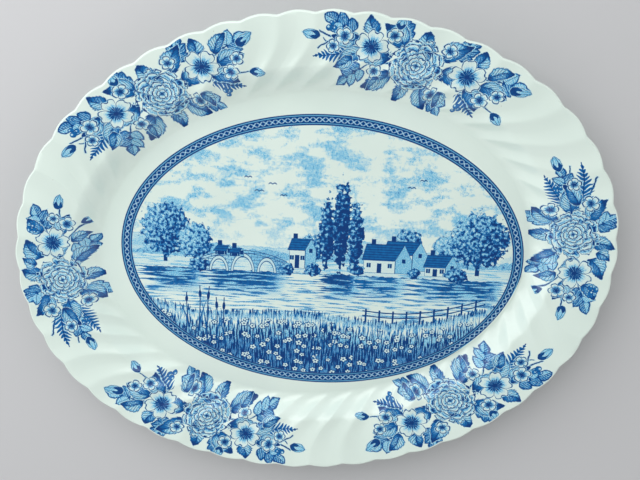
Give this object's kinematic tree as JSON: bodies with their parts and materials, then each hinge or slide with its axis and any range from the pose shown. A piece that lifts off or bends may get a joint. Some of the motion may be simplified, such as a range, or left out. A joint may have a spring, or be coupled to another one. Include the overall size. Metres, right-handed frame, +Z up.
{
  "type": "serving platter",
  "caption": "Oval serving platter with a scalloped edge, a border of swirled flutes, a flat well and an oval foot ring; blue printed decoration.",
  "frame": {"origin": "middle of the oval, on the plane of the foot ring's bare tread", "axes": "+Z up out of the well, +X along the platter's length, +Y along its width, towards the top of the picture"},
  "size_m": [0.31, 0.241, 0.023],
  "materials": {
    "biscuit": "bare fired clay, matt and slightly gritty",
    "clear_glaze": "glossy clear glaze over a faintly cool white body",
    "picture_ink": "stippled blue underglaze print under glossy glaze",
    "band_ink": "blue lattice underglaze print under glossy glaze",
    "spray_ink": "blue flower underglaze print under glossy glaze"
  },
  "bodies": {
    "root": {"china_body": "biscuit", "foot_ring": "biscuit", "face_glaze": "clear_glaze", "back_glaze": "clear_glaze", "picture_print": "picture_ink", "band_print": "band_ink", "spray_right": "spray_ink", "spray_top_right": "spray_ink", "spray_top_left": "spray_ink", "spray_left": "spray_ink", "spray_bottom_left": "spray_ink", "spray_bottom_right": "spray_ink"}
  },
  "joints": []
}
